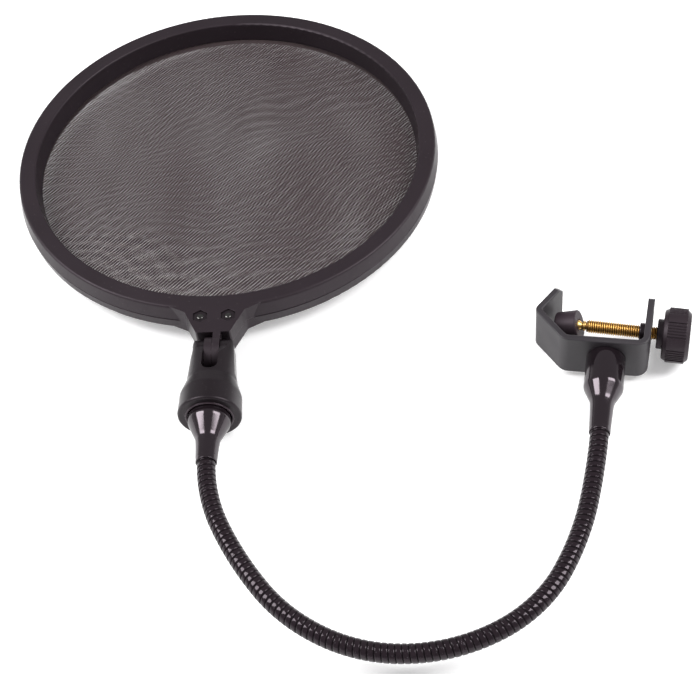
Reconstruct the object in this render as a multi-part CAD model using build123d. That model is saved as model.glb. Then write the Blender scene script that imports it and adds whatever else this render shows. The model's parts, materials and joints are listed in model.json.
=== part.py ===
from build123d import *

import os
from math import cos, pi, radians, sin

# A clamp-on pop filter lying on a table: a round hoop holding two layers of nylon mesh, a tilting
# fork, a gooseneck bent into a U, and a V-jaw clamp with a thumb screw.
# Millimetres and degrees.  Plan frame: the hoop's centre is at X = Y = 0 and the plane where the
# hoop's halves part is Z = 0.  +Y points from the fork to the hoop.  The pieces are moved at the
# end so that the origin is at the middle of the underside of the whole object.

# ------------------------------------------------------------------ driving dimensions
# Hoop: two moulded halves that clamp the mesh between a skirt and a ledge.
hoop_r = 84.4                 # largest radius, at the parting line
front_face_r = 83.5
rear_face_r = 83.7
face_inner_r = 77.0
mesh_opening_r = 75.7
front_face_z = 6.2
rear_face_z = -5.1
skirt_z = -1.6                # underside of the front half's skirt
ledge_z = -2.6                # top of the rear half's ledge
rim_inner_r = 81.5
skirt_outer_r = 78.0
channel_roof_z = 4.4
parting_groove = 0.3
post_circle_r = 79.9
post_r = 0.8
post_count = 12
mesh_r = 78.7
mesh_thickness = 0.3

# Tab and knuckle that join the hoop to the fork.
tab_root_half_width = 17.0
tab_root_y = -81.6
tab_half_width = 11.2
tab_shoulder_y = -84.6
tab_end_half_width = 6.3
front_tab_end_y = -94.8
rear_tab_end_y = -94.7
tab_screw_x = 5.2
tab_screw_y = -87.0
pivot_y = -101.5
knuckle_r = 7.2
tongue_half_width = 2.8
nut_pocket_depth = 2.4
head_pocket_depth = 2.0
knuckle_gap = 0.05            # half the gap between the two halves' knuckles
tilt_clearance = 0.35         # between the tab and the fork's ears

# Swivel fork.
slot_half_width = 2.9
ear_r = 6.2
ear_taper_half_depth = 12.0   # the ears thin out from here towards their round tops
ear_taper_z = -13.0
ear_half_width = 7.3          # at the ears' tops
ear_root_half_width = 8.6     # where the flat sides run out into the round base
ear_root_z = -11.5
side_end_z = -14.0
side_blend_r = 3.0
ear_corner_r = 4.2
slot_round_z = -9.3           # centre of the slot's round bottom, from the pivot along the fork
fork_base_z = -27.5
fork_base_r = 11.5
fork_bore_r = 7.94            # 5/8 inch thread, taken as a plain bore
fork_bore_depth = 13.0
fork_mouth_chamfer = 0.3
insert_r = 3.0                # threaded insert pressed into one ear from the slot
insert_length = 3.4

# Fasteners: M2.5 in the tab, M4 in the fork, M5 in the clamp.
m25_r = 1.25
m25_nut_flats = 5.0
m25_nut_height = 2.0
m25_head_r = 2.5
m25_head_height = 1.7
m4_r = 2.0
m4_head_r = 3.7
m4_head_height = 2.1
m5_r = 2.45
m5_head_r = 4.2
m5_head_height = 2.8
hole_play = 0.1
pocket_play = 0.2             # round a nut or a screw's head
running_play = 0.06

# Gooseneck: equal arcs, each turning left by its own angle, joined by ball ends.
neck_r = 3.3
neck_start_y = -146.5
segment_length = 29.24
segment_turns = [24.4, 12.1, 25.6, 30.0, 27.0, 31.9, 14.5, 5.5]
ball_r = 2.3
cup_r = 2.6
joint_half_gap = 0.7
sleeve_wall = 0.5             # at the sleeve's end; it thickens towards the fitting
sleeve_taper = 0.4
fitting_bore_r = 3.36
fitting_length = 8.8          # from the fork's end to the fitting's mouth
neck_insertion = 18.0         # length of the upper tail, from the fitting's mouth
lower_tail_length = 21.0

# Clamp.
bracket_distance = 31.4       # from the last neck joint to the bracket's outer face
strip_thickness = 2.4
strip_width = 18.2
jaw_tip = (-19.4, 25.4)
jaw_vertex = (-26.9, 12.95)
left_bend_x = -15.5
right_bend_x = 14.75
upright_height = 23.6
upright_lean = 2.5
end_chamfer = 2.2
strip_edge_r = 0.45
screw_height = 13.3           # along the upright, from the bracket's outer face
thread_pitch = 0.8
bush_flange_r = 3.3
bush_flange = 1.9
bush_body_r = 2.9
tip_ball_r = 1.9
tip_ball_s = -26.6            # along the screw, from the upright's outer face
pad_r = 5.5
pad_start_s = -33.6
pad_end_s = -25.7
pad_tilt = 20.0               # of the pad on the screw's ball
collar_start_s = 1.9
collar_r = 5.4
knob_start_s = 4.0
knob_end_s = 13.6
knob_r = 9.5
knob_land_height = 0.45
knob_land_count = 6
knob_land_angle = 24.0
ridges_per_group = 5
ridge_pitch_angle = 6.0
ridge_r = 0.32


# ------------------------------------------------------------------ shape helpers
def outline(*corners):
    """Closed face with corners (x, y) or (x, y, corner radius)."""
    points = [corner[:2] for corner in corners]
    radii = [corner[2] if len(corner) > 2 else 0 for corner in corners]
    return make_face(FilletPolyline(*points, radius=radii, close=True))


def turned(*corners):
    """Solid of revolution about Z from corners (radius, z) or (radius, z, corner radius)."""
    return revolve(Plane.XZ * outline(*corners), Axis.Z)


def rod(radius, low, high):
    """Cylinder along Z from low to high."""
    return Pos(0, 0, low) * extrude(Circle(radius), high - low)


def hexagon(flats, low, high):
    """Hexagonal prism along Z with corners at +Y and -Y."""
    face = RegularPolygon(flats / 2, 6, major_radius=False, rotation=30)
    return Pos(0, 0, low) * extrude(face, high - low)


def block(low, high):
    """Box between two opposite corners."""
    size = [b - a for a, b in zip(low, high)]
    return Pos(*low) * Box(*size, align=(Align.MIN, Align.MIN, Align.MIN))


def cross_recess(radius, depth, top):
    """Cruciform driver recess cut down from the plane z = top."""
    arm = Box(2 * radius, 0.28 * 2 * radius, depth)
    return Pos(0, 0, top - depth / 2) * (arm + Rot(0, 0, 90) * arm)


def pan_screw(radius, length, head_r, head_height):
    """Pan-head screw along Z: the head stands above z = 0 and the shank goes down from it."""
    head = turned((0, 0), (head_r, 0), (head_r, head_height, 0.45 * head_height), (0, head_height))
    shank = rod(radius, -length, 0)
    return head + shank - cross_recess(0.5 * head_r, 0.6 * head_height, head_height)


def hex_nut(flats, height, bore_r):
    """Hexagonal nut from z = 0 to its height, with its corners turned round at both ends."""
    corner_r = flats / 1.732
    bevel = 0.35
    rounding = turned((0, 0), (corner_r - bevel, 0), (corner_r, bevel), (corner_r, height - bevel),
                      (corner_r - bevel, height), (0, height))
    return hexagon(flats, 0, height) & rounding - rod(bore_r, -1, height + 1)


# ------------------------------------------------------------------ hoop
def tab_solid(low, high, end_y):
    """Trapezoid tab below the ring, between two heights, that flows into the ring's wall."""
    left = [(-tab_root_half_width, tab_root_y), (-tab_half_width, tab_shoulder_y, 2.0),
            (-tab_end_half_width, end_y, 1.0)]
    right = [(-x, *rest) for x, *rest in reversed(left)]
    return Pos(0, 0, low) * extrude(outline(*left, *right), high - low)


def round_pivot(radius, low, high):
    """Cylinder along X on the pivot's axis, between two places along X."""
    return Pos(0, pivot_y, 0) * Rot(0, 90, 0) * rod(radius, low, high)


def knuckle(side, web_low, web_high, web_end_y):
    """Half-width knuckle disc on one side of the middle plane, with its web up to the tab."""
    inner, outer = knuckle_gap, tongue_half_width
    disc = round_pivot(knuckle_r, inner, outer)
    web = block((inner, pivot_y, web_low), (outer, web_end_y + 0.5, web_high))
    return disc + web if side > 0 else mirror(disc + web, Plane.YZ)


def ear_room():
    """What the tab loses so that the fork's round ears clear it at every tilt."""
    radius = ear_r + tilt_clearance
    return [round_pivot(radius, tongue_half_width, 20), round_pivot(radius, -20, -tongue_half_width)]


def posts(radius, low, high):
    """Ring of small posts that locate the two halves on each other."""
    first = 360 / post_count / 2
    return [Rot(0, 0, first + 360 * i / post_count) * Pos(post_circle_r, 0, 0) * rod(radius, low, high)
            for i in range(post_count)]


def make_front_hoop():
    ring = turned((rim_inner_r, 0), (hoop_r - parting_groove, 0), (hoop_r, parting_groove),
                  (front_face_r, front_face_z, 1.0), (face_inner_r, front_face_z, 0.8),
                  (mesh_opening_r, skirt_z, 0.3), (skirt_outer_r, skirt_z),
                  (skirt_outer_r + 0.5, channel_roof_z, 0.4), (rim_inner_r - 0.2, channel_roof_z, 0.4))
    tab = tab_solid(0, front_face_z, front_tab_end_y)
    tab -= round_pivot(knuckle_r + knuckle_gap, -tongue_half_width, knuckle_gap)
    body = ring + (tab - ear_room()) + knuckle(+1, knuckle_gap, front_face_z, front_tab_end_y)
    body += posts(post_r, -3.6, channel_roof_z + 0.2)
    pocket_floor = front_face_z - nut_pocket_depth
    for x in (-tab_screw_x, tab_screw_x):
        body -= Pos(x, tab_screw_y, 0) * rod(m25_r + hole_play, -1, front_face_z + 1)
        body -= Pos(x, tab_screw_y, 0) * hexagon(m25_nut_flats + pocket_play, pocket_floor, front_face_z + 1)
    return body - round_pivot(m4_r + running_play, -20, 20)


def make_rear_hoop():
    ring = turned((mesh_opening_r + 0.2, ledge_z, 0.3), (rim_inner_r, ledge_z), (rim_inner_r, 0),
                  (hoop_r - parting_groove, 0), (hoop_r, -parting_groove),
                  (rear_face_r, rear_face_z, 1.0), (face_inner_r, rear_face_z, 0.8))
    tab = tab_solid(rear_face_z, 0, rear_tab_end_y)
    tab -= round_pivot(knuckle_r + knuckle_gap, -knuckle_gap, tongue_half_width)
    body = ring + (tab - ear_room()) + knuckle(-1, rear_face_z, -knuckle_gap, rear_tab_end_y)
    body -= posts(post_r + hole_play, -3.9, 0)
    head_seat = rear_face_z + head_pocket_depth
    for x in (-tab_screw_x, tab_screw_x):
        body -= Pos(x, tab_screw_y, 0) * rod(m25_r + hole_play, rear_face_z - 1, 1)
        body -= Pos(x, tab_screw_y, 0) * rod(m25_head_r + pocket_play, rear_face_z - 1, head_seat)
    return body - round_pivot(m4_r + running_play, -20, 20)


def make_mesh(top):
    """One layer of the nylon mesh as a thin disc."""
    return rod(mesh_r, top - mesh_thickness, top)


def make_mesh_ring():
    """Flat ring between the two mesh layers."""
    low, high = ledge_z + mesh_thickness, skirt_z - mesh_thickness
    return turned((mesh_opening_r + 0.7, low), (mesh_r, low), (mesh_r, high), (mesh_opening_r + 0.7, high))


def make_tab_screws():
    """Two screws from the rear, their heads sunk in the round pockets."""
    head_seat = rear_face_z + head_pocket_depth
    length = front_face_z - 0.3 - head_seat
    screw = Rot(180, 0, 0) * pan_screw(m25_r, length, m25_head_r, m25_head_height)
    return Compound([Pos(x, tab_screw_y, head_seat) * screw for x in (-tab_screw_x, tab_screw_x)])


def make_tab_nuts():
    nut = hex_nut(m25_nut_flats, m25_nut_height, m25_r + 0.02)
    seat = front_face_z - nut_pocket_depth
    return Compound([Pos(x, tab_screw_y, seat) * nut for x in (-tab_screw_x, tab_screw_x)])


# ------------------------------------------------------------------ fork
# The fork's own frame has its origin at the pivot and +Z towards the hoop.
fork_frame = Location(Plane(origin=(0, pivot_y, 0), x_dir=(1, 0, 0), z_dir=(0, 1, 0)))
across = Rot(0, 90, 0)        # turns a piece made along Z so that it lies along X


def fork_side_profile():
    """Depth of the fork seen along the pivot: it thins out to the ears' round tops."""
    depth = ear_taper_half_depth
    taper = outline((-ear_taper_z, -depth), (0, -ear_r), (0, ear_r), (-ear_taper_z, depth),
                    (1 - fork_base_z, depth), (1 - fork_base_z, -depth))
    return taper + Circle(ear_r)


def make_swivel_fork():
    body = turned((0, fork_base_z), (fork_base_r, fork_base_z, 0.9), (11.2, -19.0, 5.0),
                  (9.2, -13.0, 5.0), (8.2, 2.0), (8.0, 9.0), (0, 9.0))
    body &= across * extrude(fork_side_profile(), 20, both=True)
    clear = fork_base_r + 1
    right = [(clear, fork_base_z - 1), (clear, side_end_z, side_blend_r),
             (ear_root_half_width, ear_root_z, side_blend_r), (ear_half_width, ear_r, ear_corner_r)]
    left = [(-x, *rest) for x, *rest in reversed(right)]
    sides = outline(*right, *left)
    body &= Rot(90, 0, 0) * extrude(sides, 20, both=True)
    slot = block((-slot_half_width, -20, slot_round_z), (slot_half_width, 20, 20))
    slot_round = Pos(0, 0, slot_round_z) * Rot(90, 0, 0) * rod(slot_half_width, -20, 20)
    bore = rod(fork_bore_r, fork_base_z - 1, fork_base_z + fork_bore_depth)
    mouth = turned((0, fork_base_z), (fork_bore_r + fork_mouth_chamfer, fork_base_z),
                   (fork_bore_r, fork_base_z + fork_mouth_chamfer), (0, fork_base_z + fork_mouth_chamfer))
    body = body - slot - slot_round - bore - mouth
    insert_end = slot_half_width + insert_length
    body -= across * rod(m4_r + hole_play, -20, insert_end)
    body -= across * rod(m4_head_r + pocket_play, -20, m4_head_height - ear_half_width)
    body -= across * rod(insert_r, 0, insert_end)
    return fork_frame * body


def make_pivot_screw():
    length = slot_half_width + insert_length - 0.2 + ear_half_width - m4_head_height
    screw = pan_screw(m4_r, length, m4_head_r, m4_head_height)
    return fork_frame * Pos(m4_head_height - ear_half_width, 0, 0) * Rot(0, -90, 0) * screw


def make_pivot_nut():
    """Round threaded insert in the ear, flush with the slot's wall."""
    insert = rod(insert_r, 0, insert_length) - rod(m4_r + 0.02, -1, insert_length + 1)
    return fork_frame * Pos(slot_half_width, 0, 0) * across * insert


# ------------------------------------------------------------------ gooseneck
def neck_stations():
    """Position and heading in degrees at each neck joint, from the fork to the clamp."""
    x, y, heading = 0.0, neck_start_y, -90.0
    stations = [(x, y, heading)]
    for turn in segment_turns:
        radius = segment_length / radians(turn)
        x += radius * (sin(radians(heading + turn)) - sin(radians(heading)))
        y -= radius * (cos(radians(heading + turn)) - cos(radians(heading)))
        heading += turn
        stations.append((x, y, heading))
    return stations


stations = neck_stations()


def heading_vector(heading):
    return Vector(cos(radians(heading)), sin(radians(heading)), 0)


def along_neck(x, y, heading):
    """Frame at a neck joint, with +Z along the gooseneck."""
    return Location(Plane(origin=(x, y, 0), x_dir=(0, 0, 1), z_dir=heading_vector(heading)))


def cup_at(x, y, heading):
    """What a neck piece loses at its far end: the ball's cup and the joint's gap."""
    return along_neck(x, y, heading) * (Sphere(cup_r) + rod(2 * neck_r, -joint_half_gap, 2 * neck_r))


def gap_after(x, y, heading):
    """What a neck piece loses at its near end, so that its tube starts past the joint's gap."""
    return along_neck(x, y, heading) * rod(2 * neck_r, -2 * neck_r, joint_half_gap)


def make_neck_segment(index):
    """One arc of the gooseneck with a ball at its near end and a cup at its far end."""
    x, y, heading = stations[index]
    turn = segment_turns[index]
    radius = segment_length / radians(turn)
    left = heading_vector(heading + 90)
    centre = Vector(x, y, 0) + left * radius
    section = along_neck(x, y, heading) * Circle(neck_r)
    tube = revolve(section, Axis(centre, (0, 0, 1)), revolution_arc=turn)
    tube -= gap_after(x, y, heading)
    tube -= cup_at(*stations[index + 1])
    return tube + along_neck(x, y, heading) * Sphere(ball_r)


def make_upper_tail():
    """Straight end of the gooseneck inside the upper fitting, with the first cup."""
    x, y, heading = stations[0]
    mouth = fork_base_z - fitting_length
    length = mouth + neck_insertion - (y - pivot_y)
    tail = Plane(origin=(x, y, 0), x_dir=(0, 0, 1), z_dir=(0, 1, 0)).location * rod(neck_r, 0, length)
    return tail - cup_at(x, y, heading)


# The lower end's frame has its origin on the bracket's outer face, +X along the bracket's plate
# towards the upright, and +Y away from the gooseneck.
end_x, end_y, end_heading = stations[-1]
bracket_origin = Vector(end_x, end_y, 0) + heading_vector(end_heading) * bracket_distance
bracket_frame = Location(
    Plane(origin=bracket_origin, x_dir=heading_vector(end_heading - 90), z_dir=(0, 0, 1)))
# Pieces turned about the gooseneck's lower end: +Z runs from the plate back towards the neck.
lower_end_frame = bracket_frame * Rot(90, 0, 0)


def make_lower_tail():
    tail = rod(neck_r, bracket_distance - lower_tail_length, bracket_distance - joint_half_gap)
    return lower_end_frame * (tail + Pos(0, 0, bracket_distance) * Sphere(ball_r))


def make_upper_fitting():
    """Turned stub that screws into the fork and is crimped on the gooseneck."""
    top = fork_base_z + fork_bore_depth - 0.3
    mouth = fork_base_z - fitting_length
    stub_r = fork_bore_r - running_play
    body = turned((0, top), (stub_r - 0.6, top), (stub_r, top - 0.6), (stub_r, fork_base_z + 1.5),
                  (7.1, fork_base_z + 1.5), (7.1, fork_base_z - 1.2), (4.1, mouth + 0.6), (4.1, mouth),
                  (0, mouth))
    return fork_frame * (body - rod(fitting_bore_r, mouth - 1, mouth + neck_insertion + 0.3))


def make_lower_fitting():
    body = turned((0, 0), (6.4, 0), (6.4, 13.0), (4.1, 18.6), (4.1, 19.0), (0, 19.0))
    body -= rod(fitting_bore_r, bracket_distance - lower_tail_length - 0.2, 20)
    body -= rod(m5_r + 0.03, -1, 8.5)
    return lower_end_frame * body


def make_upper_sleeve():
    """Shrunk sleeve over the upper fitting's cone and the first of the gooseneck."""
    mouth = fork_base_z - fitting_length
    end = neck_start_y - pivot_y + joint_half_gap
    inner = neck_r + 0.03
    outer = neck_r + sleeve_wall
    body = turned((7.13, fork_base_z + 1.3), (7.72, fork_base_z + 1.3, 0.2),
                  (7.72, fork_base_z - 1.4, 1.0), (4.8, mouth + 0.3, 1.5),
                  (outer + sleeve_taper, mouth - 1.6, 1.0),
                  (outer, end), (inner, end), (inner, mouth - 0.05), (4.14, mouth - 0.05),
                  (4.14, mouth + 0.6), (7.13, fork_base_z - 1.2))
    return fork_frame * body


def make_lower_sleeve():
    """Shrunk sleeve over the lower fitting and the last of the gooseneck."""
    inner = neck_r + 0.03
    outer = neck_r + sleeve_wall
    end = bracket_distance - joint_half_gap
    body = turned((6.43, 0.2), (7.0, 0.2, 0.2), (7.0, 13.2, 1.0), (4.8, 18.9, 1.5),
                  (outer + sleeve_taper, 20.6, 1.0), (outer, end), (inner, end), (inner, 19.05),
                  (4.14, 19.05), (4.14, 18.6), (6.43, 13.0))
    return lower_end_frame * body


# ------------------------------------------------------------------ clamp
# The screw's frame has its origin where the screw's axis leaves the upright, +Z towards the knob.
upright_foot = Vector(right_bend_x, 0, 0)
upright_up = Vector(sin(radians(upright_lean)), cos(radians(upright_lean)), 0)
screw_out = Vector(cos(radians(upright_lean)), -sin(radians(upright_lean)), 0)
screw_frame = bracket_frame * Location(
    Plane(origin=upright_foot + upright_up * screw_height, x_dir=(0, 0, 1), z_dir=screw_out))


def make_clamp_bracket():
    """Bent strip: V jaw, plate and upright, with the ends' corners cut off."""
    upright_top = upright_foot + upright_up * upright_height
    outer_face = FilletPolyline(jaw_tip, jaw_vertex, (left_bend_x, 0), (right_bend_x, 0),
                                (upright_top.X, upright_top.Y), radius=[3.2, 4.6, 4.6])
    start = Plane(origin=outer_face @ 0, x_dir=(0, 0, 1), z_dir=outer_face % 0)
    section = start * Pos(0, -strip_thickness / 2) * Rectangle(strip_width, strip_thickness)
    strip = sweep(section, path=outer_face)
    corners = [edge for edge in strip.edges().filter_by(GeomType.LINE)
               if abs(edge.length - strip_thickness) < 0.01]
    strip = chamfer(corners, end_chamfer)
    rims = strip.faces().filter_by(lambda face: abs(abs(face.center().Z) - strip_width / 2) < 0.01)
    strip = fillet(rims.edges().filter_by(lambda edge: edge.length > 1.5 * strip_thickness), strip_edge_r)
    strip -= lower_plate_hole()
    return bracket_frame * strip - screw_frame * rod(bush_body_r + 0.05, -20, 20)


def lower_plate_hole():
    return Rot(90, 0, 0) * rod(m5_r + hole_play, -strip_thickness - 1, 1)


def make_fitting_screw():
    """Screw through the bracket's plate into the lower fitting."""
    screw = pan_screw(m5_r, 10.0, m5_head_r, m5_head_height)
    return lower_end_frame * Pos(0, 0, -strip_thickness) * Rot(180, 0, 0) * screw


def make_screw_bush():
    """Threaded bush pressed into the upright."""
    bore_r = m5_r + running_play
    flange_end = -strip_thickness - bush_flange
    body = turned((bore_r, flange_end), (bush_flange_r, flange_end, 0.4), (bush_flange_r, -strip_thickness),
                  (bush_body_r, -strip_thickness), (bush_body_r, 0), (bore_r, 0))
    return screw_frame * body


def make_clamp_screw():
    """Thumb screw: ball tip, neck, thread and the end moulded into the knob."""
    neck_start = tip_ball_s + 1.2
    thread_start = tip_ball_s + 3.6
    shank = turned((0, neck_start), (1.4, neck_start), (1.4, thread_start), (m5_r - 0.5, thread_start),
                   (m5_r, thread_start + 0.6), (m5_r, knob_end_s - 3.0), (0, knob_end_s - 3.0))
    return screw_frame * (shank + Pos(0, 0, tip_ball_s) * Sphere(tip_ball_r))


def make_pressure_pad():
    body = turned((0, pad_start_s), (pad_r, pad_start_s, 0.6), (pad_r, pad_end_s, 0.5), (0, pad_end_s))
    socket = Pos(0, 0, tip_ball_s) * Sphere(tip_ball_r + running_play)
    throat = turned((0, tip_ball_s), (1.75, tip_ball_s), (1.75, tip_ball_s + 0.4), (2.5, pad_end_s + 0.1),
                    (0, pad_end_s + 0.1))
    tilt = Pos(0, 0, tip_ball_s) * Rot(0, pad_tilt, 0) * Pos(0, 0, -tip_ball_s)
    return screw_frame * tilt * (body - socket - throat)


def knob_lands():
    """Raised lands round the knob, and the groups of ridges between them."""
    low, high = knob_start_s + 1.6, knob_end_s - 1.4
    ring = rod(knob_r + knob_land_height, low, high) - rod(knob_r - 1, low - 1, high + 1)
    reach = 3 * knob_r
    half = radians(knob_land_angle / 2)
    wedge_face = Polyline((0, 0), (reach * cos(half), -reach * sin(half)),
                          (reach * cos(half), reach * sin(half)), close=True)
    wedge = Pos(0, 0, low) * extrude(make_face(wedge_face), high - low)
    land = ring & wedge
    ridge = Pos(knob_r, 0, 0) * rod(ridge_r, low, high)
    raised = []
    for i in range(knob_land_count):
        turn = 360 * i / knob_land_count
        raised.append(Rot(0, 0, turn) * land)
        for k in range(ridges_per_group):
            step = (k - (ridges_per_group - 1) / 2) * ridge_pitch_angle
            raised.append(Rot(0, 0, turn + 180 / knob_land_count + step) * ridge)
    return raised


def make_knob():
    """Moulded knob with a stepped collar, gripping the screw's end."""
    body = turned((0, collar_start_s), (collar_r, collar_start_s, 0.4), (collar_r, knob_start_s),
                  (knob_r - 0.8, knob_start_s, 0.8), (knob_r, knob_start_s + 1.6, 0.8),
                  (knob_r, knob_end_s - 1.4, 0.8), (knob_r - 1.2, knob_end_s, 1.0),
                  (knob_r - 3.0, knob_end_s), (knob_r - 3.6, knob_end_s - 0.7), (0, knob_end_s - 0.7))
    body += knob_lands()
    socket = turned((0, collar_start_s - 1), (m5_r + 0.02, collar_start_s - 1),
                    (m5_r + 0.02, knob_end_s - 2.98), (0, knob_end_s - 2.98))
    return screw_frame * (body - socket)


# ------------------------------------------------------------------ all pieces
pieces = {
    "front_hoop": make_front_hoop(),
    "rear_hoop": make_rear_hoop(),
    "front_mesh": make_mesh(skirt_z),
    "rear_mesh": make_mesh(ledge_z + mesh_thickness),
    "mesh_ring": make_mesh_ring(),
    "tab_screws": make_tab_screws(),
    "tab_nuts": make_tab_nuts(),
    "swivel_fork": make_swivel_fork(),
    "pivot_screw": make_pivot_screw(),
    "pivot_nut": make_pivot_nut(),
    "upper_fitting": make_upper_fitting(),
    "upper_sleeve": make_upper_sleeve(),
    "neck_upper_tail": make_upper_tail(),
    "neck_lower_tail": make_lower_tail(),
    "lower_fitting": make_lower_fitting(),
    "lower_sleeve": make_lower_sleeve(),
    "fitting_screw": make_fitting_screw(),
    "clamp_bracket": make_clamp_bracket(),
    "screw_bush": make_screw_bush(),
    "clamp_screw": make_clamp_screw(),
    "knob": make_knob(),
    "pressure_pad": make_pressure_pad(),
}
for number in range(len(segment_turns)):
    pieces[f"neck_segment_{number + 1}"] = make_neck_segment(number)

# The origin: the middle of the underside of the box round every piece.
whole = Compound([solid for piece in pieces.values() for solid in piece.solids()]).bounding_box()
middle = whole.center()
to_origin = Pos(-middle.X, -middle.Y, -whole.min.Z)

for name, piece in pieces.items():
    moved = to_origin * Compound(piece.solids())
    export_step(moved, f"parts/{name}.step")
    print(name, len(moved.solids()), "solids", round(moved.volume, 1), "mm3")


def place(vector):
    """A point of the plan frame in the exported frame, in metres."""
    point = Vector(vector) + to_origin.position
    return [round(value / 1000, 7) for value in (point.X, point.Y, point.Z)]


def direction(location):
    """The +Z direction of a frame."""
    axis = Plane(location).z_dir
    return [round(value, 7) for value in (axis.X, axis.Y, axis.Z)]


def report():
    """Joint positions and axes, in metres, for whoever writes the joints down."""
    print("pivot", place((0, pivot_y, 0)))
    print("fork axis", place((0, fork_base_z + pivot_y, 0)))
    for index, (x, y, heading) in enumerate(stations):
        print("neck joint", index + 1, place((x, y, 0)), "heading", round(heading, 3))
    print("clamp travel per radian of the knob", thread_pitch / (2000 * pi))
    print("bracket origin", place(bracket_origin))
    print("screw origin", place(screw_frame.position), "axis", direction(screw_frame))


report()
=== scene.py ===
import json
from math import atan2, cos, exp, floor, pi, radians, sin, tau

import bpy
from mathutils import Matrix, Vector


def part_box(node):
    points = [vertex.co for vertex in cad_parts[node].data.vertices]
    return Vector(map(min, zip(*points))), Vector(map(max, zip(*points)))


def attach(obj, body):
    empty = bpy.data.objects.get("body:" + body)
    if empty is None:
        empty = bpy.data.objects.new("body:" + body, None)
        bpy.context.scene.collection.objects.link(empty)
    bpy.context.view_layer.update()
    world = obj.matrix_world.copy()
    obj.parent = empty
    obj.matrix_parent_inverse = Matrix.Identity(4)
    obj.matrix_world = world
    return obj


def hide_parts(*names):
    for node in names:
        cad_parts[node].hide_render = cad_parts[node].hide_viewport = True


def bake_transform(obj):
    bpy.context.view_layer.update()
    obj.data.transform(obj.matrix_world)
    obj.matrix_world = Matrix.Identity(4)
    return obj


# Looks for a clamp-on pop filter that lies on a pale studio floor.  Metres, in the CAD's own frame:
# +Z is up and +Y runs from the fork to the hoop.

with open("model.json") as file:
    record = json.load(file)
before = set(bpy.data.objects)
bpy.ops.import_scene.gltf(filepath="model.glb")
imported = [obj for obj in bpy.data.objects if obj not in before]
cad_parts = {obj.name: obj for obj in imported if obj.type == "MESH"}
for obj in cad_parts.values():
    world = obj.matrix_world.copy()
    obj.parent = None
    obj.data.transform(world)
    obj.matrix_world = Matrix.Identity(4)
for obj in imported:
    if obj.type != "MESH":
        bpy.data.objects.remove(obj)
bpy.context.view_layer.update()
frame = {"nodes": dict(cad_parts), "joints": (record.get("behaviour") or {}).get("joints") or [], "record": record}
nodes = frame["nodes"]
joints = {joint["name"]: joint for joint in frame["joints"]}
MM = 0.001


# ------------------------------------------------------------------ places read from the frame
def reach(node, point, axis):
    """Lowest and highest place of a CAD node along an axis, and its largest distance from the axis."""
    along, away = [], []
    for vertex in nodes[node].data.vertices:
        offset = vertex.co - point
        s = offset.dot(axis)
        along.append(s)
        away.append((offset - axis * s).length)
    return min(along), max(along), max(away)


def centre_of(node):
    low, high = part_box(node)
    return (low + high) / 2


pivot = Vector(joints["hoop_tilt"]["pos_m"])
fork_axis = Vector(joints["fork_swivel"]["axis"])
screw_origin = Vector(joints["knob_turn"]["pos_m"])
screw_axis = Vector(joints["knob_turn"]["axis"])
hoop_centre = centre_of("front_mesh")
neck_joints = sorted((name for name in joints if name.startswith("neck_")),
                     key=lambda name: int(name.rsplit("_", 1)[1]))


# ------------------------------------------------------------------ mesh building
def add_object(name, vertices, faces, material, uvs=None, smooth=True, grooves=None):
    """A mesh object from vertices and faces, with one material.

    Each vertex can have coordinates, and a groove value that is 0 on a crest and 1 in a groove.
    """
    mesh = bpy.data.meshes.new(name)
    mesh.from_pydata([tuple(v) for v in vertices], [], faces)
    mesh.validate()
    if uvs:
        layer = mesh.uv_layers.new(name="UVMap")
        for loop in mesh.loops:
            layer.data[loop.index].uv = uvs[loop.vertex_index]
    if grooves:
        mesh.attributes.new("groove", "FLOAT", "POINT").data.foreach_set("value", grooves)
    mesh.polygons.foreach_set("use_smooth", [smooth] * len(mesh.polygons))
    mesh.materials.append(material)
    obj = bpy.data.objects.new(name, mesh)
    bpy.context.scene.collection.objects.link(obj)
    return obj


def grid_faces(rows, columns):
    """Quads between rows of points that close on themselves round a tube."""
    faces = []
    for i in range(rows - 1):
        for k in range(columns):
            a, b = i * columns + k, i * columns + (k + 1) % columns
            faces.append((a, b, b + columns, a + columns))
    return faces


def capped_faces(rows, columns):
    """Faces of a tube with a cap on each end."""
    last = (rows - 1) * columns
    return grid_faces(rows, columns) + [tuple(reversed(range(columns))), tuple(range(last, last + columns))]


def ring_faces(rows, columns):
    """Faces of a tube whose last row of points joins its first."""
    last = (rows - 1) * columns
    seam = [(last + k, last + (k + 1) % columns, (k + 1) % columns, k) for k in range(columns)]
    return grid_faces(rows, columns) + seam


def axis_frame(origin, axis):
    """Matrix whose Z runs along an axis and whose X stays as near world Z as it can."""
    z = axis.normalized()
    hint = Vector((0, 0, 1)) if abs(z.z) < 0.9 else Vector((1, 0, 0))
    y = z.cross(hint).normalized()
    x = y.cross(z)
    return Matrix.Translation(origin) @ Matrix((x, y, z)).transposed().to_4x4()


def revolved(name, place, profile, material, count=64, closed=False):
    """Surface of revolution from (radius, z) points about a frame's Z, capped or closed on itself."""
    vertices, uvs = [], []
    for radius, z in profile:
        for k in range(count):
            angle = tau * k / count
            vertices.append(place @ Vector((radius * cos(angle), radius * sin(angle), z)))
            uvs.append((z, angle * radius))
    faces = ring_faces(len(profile), count) if closed else capped_faces(len(profile), count)
    return add_object(name, vertices, faces, material, uvs)


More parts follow.
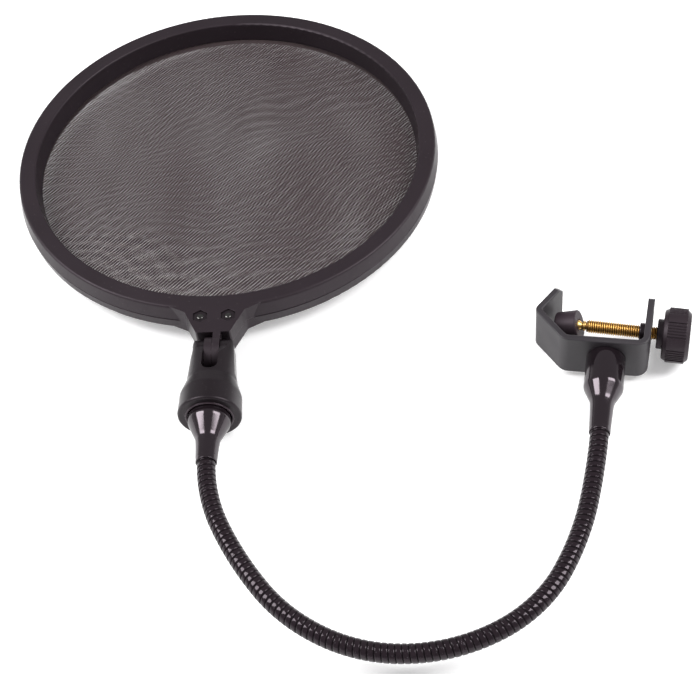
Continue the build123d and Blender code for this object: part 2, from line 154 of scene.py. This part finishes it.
def rounded(points, radius, steps=5):
    """The same (radius, z) outline with each inner corner replaced by a small curve."""
    most = 0.45               # share of a side that one corner's curve may take
    out = [points[0]]
    for before, corner, after in zip(points, points[1:], points[2:]):
        p, a, b = Vector(corner), Vector(before), Vector(after)
        reach_in = min(radius, (a - p).length * most, (b - p).length * most)
        start, end = p + (a - p).normalized() * reach_in, p + (b - p).normalized() * reach_in
        for i in range(steps + 1):
            t = i / steps
            out.append(tuple(start * (1 - t) ** 2 + p * 2 * t * (1 - t) + end * t ** 2))
    out.append(points[-1])
    return out


def smooth_step(t):
    """0 up to t = 0 and 1 from t = 1, with an even S between them."""
    t = min(max(t, 0), 1)
    return t * t * (3 - 2 * t)


# ------------------------------------------------------------------ procedural materials
class Look:
    """A node material being built.  Coordinates are the mesh's own, in metres."""

    def __init__(self, name, colour, roughness, **sockets):
        self.material = bpy.data.materials.new(name)
        self.material.use_nodes = True
        self.tree = self.material.node_tree
        self.shader = self.tree.nodes["Principled BSDF"]
        self.shader.inputs["Base Color"].default_value = (*colour, 1)
        self.shader.inputs["Roughness"].default_value = roughness
        for socket, value in sockets.items():
            self.shader.inputs[socket.replace("_", " ")].default_value = value
        self.place = self.add("ShaderNodeTexCoord").outputs["Object"]

    def add(self, kind, inputs=None, **settings):
        node = self.tree.nodes.new(kind)
        for key, value in settings.items():
            setattr(node, key, value)
        for key, value in (inputs or {}).items():
            socket = node.inputs[key]
            if isinstance(value, bpy.types.NodeSocket):
                self.tree.links.new(value, socket)
            else:
                socket.default_value = value
        return node

    def math(self, operation, *values):
        inputs = dict(enumerate(values))
        return self.add("ShaderNodeMath", inputs, operation=operation).outputs[0]

    def vector(self, operation, a, b):
        return self.add("ShaderNodeVectorMath", {0: a, 1: b}, operation=operation).outputs[0]

    def stretched(self, scale, turn=0.0):
        """The mesh's coordinates, turned about Z and scaled along each axis."""
        inputs = {"Vector": self.place, "Scale": scale, "Rotation": (0, 0, turn)}
        return self.add("ShaderNodeMapping", inputs).outputs[0]

    def noise(self, scale, detail=3.0, rough=0.5, place=None):
        inputs = {"Vector": place or self.place, "Scale": scale, "Detail": detail, "Roughness": rough}
        return self.add("ShaderNodeTexNoise", inputs).outputs["Fac"]

    def remap(self, value, low, high, to_low, to_high):
        inputs = {"Value": value, "From Min": low, "From Max": high, "To Min": to_low, "To Max": to_high}
        return self.add("ShaderNodeMapRange", inputs).outputs["Result"]

    def mix(self, factor, a, b):
        """Colour a where the factor is 0 and b where it is 1.  Plain colours are three numbers."""
        node = self.add("ShaderNodeMix", data_type="RGBA")
        for index, value in ((0, factor), (6, a), (7, b)):
            if isinstance(value, bpy.types.NodeSocket):
                self.tree.links.new(value, node.inputs[index])
            else:
                node.inputs[index].default_value = (*value, 1)
        return node.outputs[2]

    def set(self, socket, value):
        self.tree.links.new(value, self.shader.inputs[socket])

    def bump(self, height, distance, normal=None):
        inputs = {"Height": height, "Distance": distance, "Strength": 1.0}
        if normal:
            inputs["Normal"] = normal
        return self.add("ShaderNodeBump", inputs).outputs["Normal"]

    def groove(self):
        """The groove value of the mesh's vertices: 0 on crests, 1 in grooves."""
        return self.add("ShaderNodeAttribute", attribute_name="groove").outputs["Fac"]

    def soft_edges(self, radius):
        """Normals that round off sharp edges, and a mask that is 1 on those edges."""
        bevel = self.add("ShaderNodeBevel", {"Radius": radius}, samples=4).outputs["Normal"]
        flat = self.add("ShaderNodeNewGeometry").outputs["Normal"]
        match = self.add("ShaderNodeVectorMath", {0: bevel, 1: flat}, operation="DOT_PRODUCT")
        return bevel, self.remap(match.outputs["Value"], 0.995, 0.85, 0.0, 1.0)


def brighter(colour, factor):
    return tuple(min(1.0, c * factor) for c in colour)


def moulded_plastic(name, colour, roughness, grain=0.02 * MM, edge=0.25 * MM, dust=0.1):
    """Moulded plastic: fine spark-eroded grain, uneven gloss, hairline scuffs, dust, and edges that are rubbed and
    painted lighter as a highlight.

    It is glossier where it is seen at a grazing angle.
    """
    look = Look(name, colour, roughness, Specular_IOR_Level=0.32, Specular_Tint=plum_sheen)
    normal, edges = look.soft_edges(edge)
    broad = look.noise(35, 4)
    fine = look.noise(2600, 2)
    scuffs = look.noise(90, 6, 0.7, look.stretched((1.0, 9.0, 1.0), 0.6))
    scuff_lines = look.remap(scuffs, 0.56, 0.62, 0.0, 1.0)
    specks = look.remap(look.noise(900, 1), 0.70, 0.76, 0.0, dust)
    tone = look.mix(broad, brighter(colour, 0.82), brighter(colour, 1.2))
    # Lighter edges: rubbed wear, and a painted highlight along them.
    tone = look.mix(look.math("MULTIPLY", edges, 0.45), tone, brighter(colour, 2.2))
    tone = look.mix(specks, tone, (0.16, 0.15, 0.15))
    look.set("Base Color", tone)
    rough = look.remap(broad, 0.3, 0.7, roughness - 0.05, roughness + 0.05)
    rough = look.math("SUBTRACT", rough, look.math("MULTIPLY", edges, 0.10))
    rough = look.math("ADD", rough, look.math("MULTIPLY", scuff_lines, 0.05))
    facing = look.add("ShaderNodeLayerWeight", {"Blend": 0.5}).outputs["Facing"]
    look.set("Roughness", look.math("MULTIPLY", rough, look.remap(facing, 0.75, 1.0, 1.0, 0.35)))
    look.set("Normal", look.bump(fine, grain, normal))
    return look.material


def powder_coat(name, colour):
    """Satin powder coat on steel: orange peel, a few rub marks, and edges that are rubbed and painted lighter as a
    highlight.
    """
    roughness = 0.46
    look = Look(name, colour, roughness, Specular_IOR_Level=0.5)
    normal, edges = look.soft_edges(0.45 * MM)
    broad = look.noise(60, 3)
    peel = look.noise(1500, 2)
    rubs = look.noise(160, 5, 0.7, look.stretched((8.0, 1.0, 1.0), 0.3))
    rub_marks = look.remap(rubs, 0.60, 0.68, 0.0, 0.5)
    tone = look.mix(broad, brighter(colour, 0.85), brighter(colour, 1.18))
    # Lighter edges: rubbed wear, and a painted highlight along them.
    tone = look.mix(look.math("MULTIPLY", edges, 0.4), tone, brighter(colour, 1.9))
    look.set("Base Color", look.mix(rub_marks, tone, brighter(colour, 1.5)))
    look.set("Roughness", look.remap(broad, 0.3, 0.7, roughness - 0.06, roughness + 0.06))
    look.set("Normal", look.bump(peel, 0.03 * MM, normal))
    return look.material


def shrunk_tube(name, colour):
    """Glossy heat-shrunk tube: a tight skin with faint flow ripples."""
    look = Look(name, colour, 0.13, Specular_IOR_Level=0.62, Specular_Tint=plum_sheen)
    look.set("Base Color", look.mix(look.noise(50, 2), brighter(colour, 0.8), brighter(colour, 1.3)))
    look.set("Roughness", look.remap(look.noise(130, 4), 0.35, 0.7, 0.09, 0.2))
    look.set("Normal", look.bump(look.noise(300, 2), 0.004 * MM))
    return look.material


def painted_coil(name, colour):
    """Glossy black finish on the gooseneck's wires with small chips: dull in the grooves, which are darkened with
    painted shade.
    """
    look = Look(name, colour, 0.14, Specular_IOR_Level=0.27, Specular_Tint=plum_sheen)
    broad = look.noise(70, 4)
    chips = look.remap(look.noise(1100, 2), 0.68, 0.73, 0.0, 0.5)
    tone = look.mix(broad, brighter(colour, 0.6), brighter(colour, 1.1))
    tone = look.mix(chips, tone, (0.08, 0.08, 0.085))
    groove = look.groove()
    # Painted shade: the base colour darkens in the grooves between the ribs.
    look.set("Base Color", look.mix(groove, tone, brighter(colour, 0.35)))
    rough = look.remap(broad, 0.3, 0.7, 0.06, 0.11)
    look.set("Roughness", look.math("ADD", rough, look.math("MULTIPLY", groove, 0.35)))
    look.set("Specular IOR Level", look.remap(groove, 0.0, 1.0, 0.27, 0.06))
    look.set("Normal", look.bump(look.noise(1800, 2), 0.012 * MM))
    return look.material


def cut_brass(name, colour):
    """Bright rolled thread: clean crests, random tarnish, and grooves darkened with painted shade."""
    look = Look(name, colour, 0.36, Metallic=1.0)
    tarnish = look.remap(look.noise(300, 3), 0.4, 0.75, 0.0, 0.15)
    groove = look.groove()
    tone = look.mix(tarnish, brighter(colour, 1.25), brighter(colour, 0.75))
    # Painted shade: the grooves get a dark brown base colour.
    look.set("Base Color", look.mix(groove, tone, (0.17, 0.085, 0.025)))
    look.set("Roughness", look.remap(groove, 0.0, 1.0, 0.34, 0.5))
    return look.material


def turned_metal(name, colour, roughness, streak_axis):
    """Bare metal with fine turning streaks round an axis and dull spots."""
    look = Look(name, colour, roughness, Metallic=1.0)
    scale = tuple(1.0 if abs(c) < 0.5 else 14.0 for c in streak_axis)
    streaks = look.noise(420, 3, 0.6, look.stretched(scale))
    stains = look.remap(look.noise(240, 4), 0.4, 0.75, 0.0, 0.7)
    look.set("Base Color", look.mix(stains, colour, brighter(colour, 0.62)))
    look.set("Roughness", look.remap(streaks, 0.3, 0.7, roughness - 0.05, roughness + 0.08))
    look.set("Normal", look.bump(streaks, 0.0015 * MM))
    return look.material


def oxide_steel(name, colour):
    """Blackened steel for the small fasteners."""
    look = Look(name, colour, 0.34, Metallic=0.2, Specular_Tint=plum_sheen)
    normal, edges = look.soft_edges(0.12 * MM)
    tone = look.mix(look.noise(500, 4), brighter(colour, 0.7), brighter(colour, 1.6))
    # Lighter edges: worn oxide, and a painted highlight along them.
    look.set("Base Color", look.mix(edges, tone, (0.05, 0.045, 0.047)))
    look.set("Roughness", look.remap(look.noise(700, 3), 0.3, 0.7, 0.26, 0.42))
    look.set("Normal", look.bump(look.noise(2500, 2), 0.01 * MM, normal))
    return look.material


def nylon_weave(name, colour, turn, warp_pitch, weft_pitch, fill, shift):
    """Open nylon weave: two sets of crossing threads, drawn out unevenly by the hoop that clamps it.

    The fill is how broad the threads are against their pitch, and the shift moves all the unevenness.
    """
    look = Look(name, colour, 0.5, Sheen_Weight=0.15)
    moving = {"Vector": look.place, "Location": (shift, 2 * shift, 0)}
    moved = look.add("ShaderNodeMapping", moving).outputs[0]

    def drawn(place, scale, detail, distance):
        """A place that noise pulls aside by up to half of a distance."""
        inputs = {"Vector": moved, "Scale": scale, "Detail": detail}
        noise = look.add("ShaderNodeTexNoise", inputs).outputs["Color"]
        pull = look.vector("SUBTRACT", noise, (0.5, 0.5, 0.5))
        pull = look.add("ShaderNodeVectorMath", {0: pull, "Scale": distance}, operation="SCALE").outputs[0]
        return look.vector("ADD", place, pull)

    def sloped(axis, middle, steepness):
        return look.math("MULTIPLY", look.math("SUBTRACT", side.outputs[axis], middle), steepness)

    place = drawn(drawn(look.place, 11.0, 1.5, 7.0 * MM), 95.0, 2.0, 0.45 * MM)
    turned_place = look.add("ShaderNodeMapping", {"Vector": place, "Rotation": (0, 0, turn)}).outputs[0]
    split = look.add("ShaderNodeSeparateXYZ", {"Vector": turned_place})
    cloudy = look.noise(42, 2, 0.5, look.stretched((1.0, 0.45, 1.0), turn))
    side = look.add("ShaderNodeSeparateXYZ", {"Vector": look.place})
    # The threads broaden towards +X and +Y, so the weave is darker towards that side.
    slope = look.math("ADD", sloped("X", hoop_centre.x, 1.1), sloped("Y", hoop_centre.y, 0.7))
    share = look.math("ADD", look.remap(cloudy, 0.3, 0.7, 0.84, 1.16), slope)
    share = look.math("MULTIPLY", share, fill)
    share = look.math("MULTIPLY", share, look.remap(look.noise(900, 2), 0.3, 0.7, 0.8, 1.2))
    along = look.math("PINGPONG", split.outputs["X"], weft_pitch / 2)
    across = look.math("PINGPONG", split.outputs["Y"], warp_pitch / 2)
    weft = look.math("LESS_THAN", along, look.math("MULTIPLY", share, 0.40 * weft_pitch))
    warp = look.math("LESS_THAN", across, look.math("MULTIPLY", share, 0.56 * warp_pitch))
    snags = look.add("ShaderNodeTexVoronoi", {"Vector": moved, "Scale": 120.0})
    pick = look.add("ShaderNodeSeparateColor", {"Color": snags.outputs["Color"]}).outputs[0]
    knot = look.math("MULTIPLY", look.math("LESS_THAN", pick, 0.02),
                     look.math("LESS_THAN", snags.outputs["Distance"], 0.07))
    look.set("Alpha", look.math("MAXIMUM", look.math("MAXIMUM", warp, weft), knot))
    tone = look.mix(look.noise(400, 3), brighter(colour, 0.7), brighter(colour, 1.4))
    look.set("Base Color", look.mix(knot, tone, brighter(colour, 0.3)))
    look.set("Normal", look.bump(look.math("MINIMUM", along, across), -0.3))
    return look.material


colours = {m["slot"]: tuple(m["base_color"]) for m in frame["record"]["materials"]}
warm_black = (0.0092, 0.0062, 0.0080)      # the object's black has a slight plum cast
plum_sheen = (1.0, 0.87, 0.96, 1.0)        # and so has its gloss
nylon_black = (0.025, 0.012, 0.014)
looks = {
    "hoop_plastic": moulded_plastic("hoop_plastic", brighter(warm_black, 1.3), 0.46),
    "fork_plastic": moulded_plastic("fork_plastic", brighter(warm_black, 0.55), 0.36),
    "knob_plastic": moulded_plastic("knob_plastic", brighter(warm_black, 1.5), 0.46),
    "pad_plastic": moulded_plastic("pad_plastic", brighter(warm_black, 2.4), 0.5),
    "black_steel": oxide_steel("black_steel", brighter(warm_black, 0.7)),
    "plated_steel": turned_metal("plated_steel", colours["plated_steel"], 0.35, (0, 1, 0)),
    "sleeve_plastic": shrunk_tube("sleeve_plastic", brighter(warm_black, 0.8)),
    "neck_steel": painted_coil("neck_steel", brighter(warm_black, 1.5)),
    "bracket_paint": powder_coat("bracket_paint", (0.0195, 0.0160, 0.0198)),
    "screw_brass": cut_brass("screw_brass", colours["screw_brass"]),
    # The fork's lip: glossy plastic painted three times lighter than the black, as a highlight.
    "polished_edge": moulded_plastic("polished_edge", brighter(warm_black, 3.0), 0.14, 0.002 * MM),
    "bright_end": turned_metal("bright_end", (0.10, 0.098, 0.095), 0.18, (0, 0, 1)),
}
for part in frame["record"]["subparts"]:
    if part["material_slot"] in looks:
        data = nodes[part["node"]].data
        data.materials.clear()
        data.materials.append(looks[part["material_slot"]])


def finish_piece(obj, slot, *replaced):
    """Hides the CAD nodes that a piece stands for; its slot is not used."""
    if replaced:
        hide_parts(*replaced)
    return obj


# ------------------------------------------------------------------ gooseneck
class Arm:
    """The gooseneck's centreline: one arc between each pair of neck joints, read from the joints."""

    def __init__(self):
        self.points = [Vector(joints[name]["pos_m"]) for name in neck_joints]
        heading = atan2(-fork_axis.y, -fork_axis.x)
        self.headings, self.lengths = [heading], []
        for a, b in zip(self.points, self.points[1:]):
            chord = b - a
            turn = 2 * (atan2(chord.y, chord.x) - heading)
            turn = (turn + pi) % tau - pi
            self.lengths.append(chord.length * (turn / 2) / sin(turn / 2))
            heading += turn
            self.headings.append(heading)
        self.starts = [sum(self.lengths[:k]) for k in range(len(self.points))]
        self.total = self.starts[-1]

    def at(self, s):
        """Point and heading at a length along the arm.  Past either end it runs straight on."""
        if s <= 0 or s >= self.total:
            end = 0 if s <= 0 else -1
            heading = self.headings[end]
            past = s if s <= 0 else s - self.total
            return self.points[end] + Vector((cos(heading), sin(heading), 0)) * past, heading
        k = max(i for i, start in enumerate(self.starts[:-1]) if s >= start)
        length, h0 = self.lengths[k], self.headings[k]
        turn = self.headings[k + 1] - h0
        radius, angle = length / turn, turn * (s - self.starts[k]) / length
        step = Vector((sin(h0 + angle) - sin(h0), cos(h0) - cos(h0 + angle), 0))
        return self.points[k] + step * radius, h0 + angle


arm = Arm()
neck_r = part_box("neck_segment_1")[1].z - arm.points[0].z
rib_pitch = 2.2 * MM
rib_depth = 0.34 * MM
rib_groove = 0.22             # share of the pitch that the groove takes
rib_steps = 16                # rings in one pitch
rib_count = 48                # points round a ring
sleeve_cover = 7 * MM         # how far the ribs run on inside each sleeve


def around(point, heading, radius, angle):
    """A point of a ring that stands square to a level heading.  The angle starts on its left."""
    left = Vector((-sin(heading), cos(heading), 0))
    return point + left * (radius * cos(angle)) + Vector((0, 0, radius * sin(angle)))


def rib_drop(phase):
    """How far the coil's surface lies under its crests, for a phase that is whole in mid-groove."""
    u = abs(phase - floor(phase + 0.5))
    groove = exp(-(u / (rib_groove / 2)) ** 4)
    inner_wire = 0.35 * exp(-(u / (rib_groove / 5)) ** 2)
    crown = 0.14 * (1 - 2 * u) ** 2
    return rib_depth * (groove * (1 - inner_wire) + crown * (1 - groove))


def ribbed_stretch(name, start, end):
    """The coil between two lengths along the arm, closed at both ends."""
    rings = round((end - start) / rib_pitch * rib_steps)
    vertices, uvs, grooves = [], [], []
    for i in range(rings + 1):
        s = start + (end - start) * i / rings
        point, heading = arm.at(s)
        for k in range(rib_count):
            angle = tau * k / rib_count
            drop = rib_drop(s / rib_pitch - k / rib_count)
            vertices.append(around(point, heading, neck_r - drop, angle))
            uvs.append((s, angle * neck_r))
            grooves.append(smooth_step(3 * drop / rib_depth - 0.35))
    faces = capped_faces(rings + 1, rib_count)
    return add_object(name, vertices, faces, looks["neck_steel"], uvs, grooves=grooves)


def make_gooseneck():
    """One ribbed stretch round each neck joint, from mid-arc to mid-arc."""
    last_joint = len(neck_joints) - 1
    for k, name in enumerate(neck_joints):
        first = -sleeve_cover if k == 0 else arm.starts[k] - arm.lengths[k - 1] / 2
        last = arm.total + sleeve_cover if k == last_joint else arm.starts[k] + arm.lengths[k] / 2
        piece = ribbed_stretch(f"gooseneck_{k + 1}", first, last)
        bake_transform(piece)
        replaced = [f"neck_segment_{k}"] if k else ["neck_upper_tail"]
        if k == last_joint:
            replaced.append("neck_lower_tail")
        finish_piece(piece, "neck_steel", *replaced)


make_gooseneck()


# ------------------------------------------------------------------ shrunk sleeves
def swept(name, profile, material, skin, count=72):
    """A tube of (radius, length along the arm) points, closed through its inside.

    The skin(s, angle) adds to its radius.
    """
    vertices, uvs = [], []
    for radius, s in profile:
        point, heading = arm.at(s)
        for k in range(count):
            angle = tau * k / count
            vertices.append(around(point, heading, radius + skin(s, angle), angle))
            uvs.append((s, angle * radius))
    return add_object(name, vertices, ring_faces(len(profile), count), material, uvs)


def make_sleeve(name, node, joint_s, outward, outline):
    """A shrunk sleeve whose outline is (radius, distance from the neck joint) in mm, boss end first.

    The distance is positive on the fitting's side.  The skin shows the ribs near its end.
    """
    wall = 0.4
    rib_fade = 4              # mm from the sleeve's end over which the ribs press through
    steps = 60                # rings along the thin end, so that the ribs show
    shoulder = outline[2][1]
    outer = rounded(outline, 0.9, 6)
    tail_r, tail_end = outer[-1]
    start_r, start = outer[-2]
    fine = [(start_r + (tail_r - start_r) * i / steps, start + (tail_end - start) * i / steps)
            for i in range(1, steps + 1)]
    outer = outer[:-1] + fine
    lip = [(tail_r - 0.15, tail_end - 0.12), (tail_r - wall, tail_end - 0.1)]
    inner = [(r - wall, z) for r, z in reversed(outer[:-1])]

    def skin(s, angle):
        """Ribs that press through near the end, and a slightly uneven pull over the shoulder."""
        distance = (s - joint_s) * outward / MM
        fade = smooth_step(1 - (distance - tail_end) / rib_fade)
        ribs = -0.15 * fade * rib_drop(s / rib_pitch - angle / tau)
        pull = 0.02 * sin(5 * angle + 0.5 * distance) + 0.015 * sin(3 * angle - 0.6 * distance)
        return ribs + pull * MM * exp(-((distance - shoulder) / 3.5) ** 2)

    profile = [(r * MM, joint_s + outward * z * MM) for r, z in outer + lip + inner]
    sleeve = swept(name, profile, looks["sleeve_plastic"], skin)
    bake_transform(sleeve)
    return finish_piece(sleeve, "sleeve_plastic", node)


def make_sleeves():
    """The upper sleeve covers the fork's fitting, and the lower one the clamp's."""
    upper = [(7.3, 18.8), (7.72, 18.6), (7.72, 14.8), (4.5, 7.9), (4.15, 5.0), (3.78, -2.2)]
    lower = [(6.6, 31.3), (7.0, 31.2), (7.0, 17.6), (4.4, 11.9), (4.1, 9.6), (3.72, -1.6)]
    make_sleeve("upper_shrunk_sleeve", "upper_sleeve", 0, -1, upper)
    make_sleeve("lower_shrunk_sleeve", "lower_sleeve", arm.total, 1, lower)


make_sleeves()


# ------------------------------------------------------------------ threads
tip_r = 0.02 * MM             # flat spot that closes a domed end


def threaded(name, place, low, high, major, pitch, material, count=40):
    """A right-hand screw thread between two heights, with its ends run out."""
    depth = 0.6 * pitch
    per_turn = 12             # rings in one pitch
    rings = round((high - low) / pitch * per_turn)
    vertices, uvs, grooves = [], [], []
    for i in range(rings + 1):
        z = low + (high - low) * i / rings
        run_out = min(1, (z - low) / pitch, (high - z) / pitch)
        for k in range(count):
            tooth = abs(2 * ((z / pitch - k / count) % 1) - 1)
            height = min(1, max(0, 1.3 * tooth - 0.15)) * run_out
            r = major - depth * (1 - height)
            angle = tau * k / count
            vertices.append(place @ Vector((r * cos(angle), r * sin(angle), z)))
            uvs.append((z, angle * major))
            grooves.append(1 - height)
    return add_object(name, vertices, capped_faces(rings + 1, count), material, uvs, grooves=grooves)


def make_thumb_screw():
    """Brass screw: ball tip, waist, bead and a full thread that runs on into the knob."""
    low, high, major = reach("clamp_screw", screw_origin, screw_axis)
    place = axis_frame(screw_origin, screw_axis)
    pitch = 0.8 * MM
    ball_r, waist_r, bead_r, root_r = 1.9 * MM, 1.15 * MM, 1.75 * MM, 1.3 * MM
    ball = low + ball_r
    bead = ball + 2.6 * MM
    thread_low = ball + 3.4 * MM
    tip = [(tip_r, low)]
    tip += [(ball_r * sin(a), ball - ball_r * cos(a)) for a in [pi * i / 16 for i in range(1, 13)]]
    tip += rounded([(waist_r, ball + 1.7 * MM), (bead_r, bead - 0.45 * MM), (bead_r, bead + 0.35 * MM),
                    (root_r, bead + 0.6 * MM), (root_r, thread_low + 0.4 * MM)], 0.15 * MM)
    point = revolved("screw_tip", place, tip, looks["screw_brass"], 40)
    thread = threaded("screw_thread", place, thread_low, high, major, pitch, looks["screw_brass"])
    for piece in (point, thread):
        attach(piece, "thumb_screw")
    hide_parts("clamp_screw")


make_thumb_screw()


def make_screw_ends():
    """Domed, threaded ends of the two tab screws, standing just above their nuts."""
    low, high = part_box("tab_screws")
    nut_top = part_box("tab_nuts")[1].z
    head_r, radius = 2.5 * MM, 1.22 * MM
    sunk = 0.6 * MM           # the foot of the end lies this far inside its nut
    dome_low, dome = 0.72 * MM, 0.38 * MM
    profile = [(radius, 0)]
    for turn in range(2):
        z = (0.12 + 0.32 * turn) * MM
        profile += [(radius, z), (radius - 0.14 * MM, z + 0.14 * MM), (radius, z + 0.26 * MM)]
    profile += [(radius * cos(a), dome_low + dome * sin(a)) for a in [pi / 2 * i / 7 for i in range(7)]]
    profile.append((tip_r, dome_low + dome))
    for number, x in enumerate((low.x + head_r, high.x - head_r)):
        place = Matrix.Translation((x, (low.y + high.y) / 2, nut_top - sunk))
        end = revolved(f"tab_screw_end_{number + 1}", place, profile, looks["bright_end"], 32)
        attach(end, "hoop")


make_screw_ends()


def make_fork_lip():
    """Rounded, polished lip round the mouth of the fork's bore, its plastic painted lighter as a highlight."""
    end = Vector((pivot.x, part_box("swivel_fork")[0].y, pivot.z))
    middle, half, flat = 8.34 * MM, 0.46 * MM, 0.8
    profile = [(middle + half * cos(a), half * flat * sin(a)) for a in [tau * i / 20 for i in range(20)]]
    place = axis_frame(end, -fork_axis)
    lip = revolved("fork_mouth_lip", place, profile, looks["polished_edge"], 96, closed=True)
    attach(lip, "fork")


make_fork_lip()


# ------------------------------------------------------------------ mesh layers
def make_mesh_layer(name, node, turn, warp_pitch, weft_pitch, shift):
    """One stretched layer of nylon, cut round, a little uneven between its clamped edge."""
    low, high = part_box(node)
    radius = (high.x - low.x) / 2
    centre = centre_of(node)
    rings, count = 30, 120
    slack = 0.08 * MM
    fill = 0.43
    vertices, faces = [centre.copy()], []
    for i in range(1, rings + 1):
        share = i / rings
        for k in range(count):
            angle = tau * k / count
            spot = Vector((cos(angle), sin(angle), 0)) * radius * share
            ripple = sin(5 * angle + 40 * spot.x) + sin(70 * spot.y + 2)
            vertices.append(centre + spot + Vector((0, 0, slack * ripple * (1 - share ** 4))))
    for k in range(count):
        faces.append((0, 1 + k, 1 + (k + 1) % count))
    for i in range(rings - 1):
        for k in range(count):
            a, b = 1 + i * count + k, 1 + i * count + (k + 1) % count
            faces.append((a, a + count, b + count, b))
    weave = nylon_weave(f"{name}_weave", nylon_black, turn, warp_pitch, weft_pitch, fill, shift)
    layer = add_object(name, vertices, faces, weave)
    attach(layer, "hoop")
    finish_piece(layer, "mesh_fabric", node)


make_mesh_layer("front_nylon", "front_mesh", turn=radians(-44), warp_pitch=1.12 * MM,
                weft_pitch=0.52 * MM, shift=0.0)
make_mesh_layer("rear_nylon", "rear_mesh", turn=radians(-51), warp_pitch=0.60 * MM,
                weft_pitch=0.49 * MM, shift=0.37)


# ------------------------------------------------------------------ studio
def make_floor():
    """A plain pale floor that glows a little, so that its shadows stay pale."""
    half = 4.0
    look = Look("studio_floor", (0.86, 0.86, 0.86), 0.7)
    tone = look.noise(2.0, 2)
    look.set("Base Color", look.mix(tone, (0.85, 0.85, 0.85), (0.87, 0.87, 0.87)))
    look.shader.inputs["Emission Color"].default_value = (1, 1, 1, 1)
    look.shader.inputs["Emission Strength"].default_value = 0.3
    corners = [(-half, -half, 0), (half, -half, 0), (half, half, 0), (-half, half, 0)]
    add_object("studio_floor", corners, [(0, 1, 2, 3)], look.material, smooth=False)


def make_softbox(name, offset, target, width=0.55, height=0.87, power=18):
    """A rectangular lamp at an offset from the target that it faces."""
    light = bpy.data.lights.new(name, "AREA")
    light.shape = "RECTANGLE"
    light.size, light.size_y = width, height
    light.energy = power
    obj = bpy.data.objects.new(name, light)
    obj.location = target + Vector(offset)
    obj.rotation_mode = "QUATERNION"
    obj.rotation_quaternion = (-Vector(offset)).to_track_quat("-Z", "Y")
    bpy.context.scene.collection.objects.link(obj)


def make_light():
    """Two softboxes, left and right, in a room that is brighter at the horizon than overhead."""
    world = bpy.data.worlds.new("studio_room")
    world.use_nodes = True
    background = world.node_tree.nodes["Background"]
    where = world.node_tree.nodes.new("ShaderNodeTexCoord")
    split = world.node_tree.nodes.new("ShaderNodeSeparateXYZ")
    height = world.node_tree.nodes.new("ShaderNodeMapRange")
    for socket, value in (("From Min", 0.0), ("From Max", 0.3), ("To Min", 0.86), ("To Max", 0.42)):
        height.inputs[socket].default_value = value
    world.node_tree.links.new(where.outputs["Generated"], split.inputs["Vector"])
    world.node_tree.links.new(split.outputs["Z"], height.inputs["Value"])
    world.node_tree.links.new(height.outputs["Result"], background.inputs["Strength"])
    background.inputs["Color"].default_value = (1.0, 0.985, 1.0, 1)
    bpy.context.scene.world = world
    target = Vector((0.02, -0.06, 0))
    make_softbox("softbox_left", (-0.92, 0.06, 1.00), target)
    make_softbox("softbox_right", (0.92, 0.02, 1.00), target)
    bpy.context.scene.view_settings.view_transform = "Standard"


def make_camera():
    """Looks down over the fork at the whole object, a little from the right and rolled."""
    aim = hoop_centre + Vector((0.04929, -0.09507, 0))      # between the hoop, the neck and the clamp
    aim.z = pivot.z
    distance, elevation, azimuth, roll = 0.6112, radians(50.19), radians(5.86), radians(-7.16)
    back = Vector((sin(azimuth) * cos(elevation), -cos(azimuth) * cos(elevation), sin(elevation)))
    data = bpy.data.cameras.new("camera")
    data.lens = 86.39
    data.sensor_width = 36.0
    data.clip_start, data.clip_end = 0.05, 20
    camera = bpy.data.objects.new("camera", data)
    level = (-back).to_track_quat("-Z", "Y").to_matrix()
    turn = (level @ Matrix.Rotation(roll, 3, "Z")).to_4x4()
    camera.matrix_world = Matrix.Translation(aim + back * distance) @ turn
    bpy.context.scene.collection.objects.link(camera)
    bpy.context.scene.camera = camera


make_floor()
make_light()
make_camera()
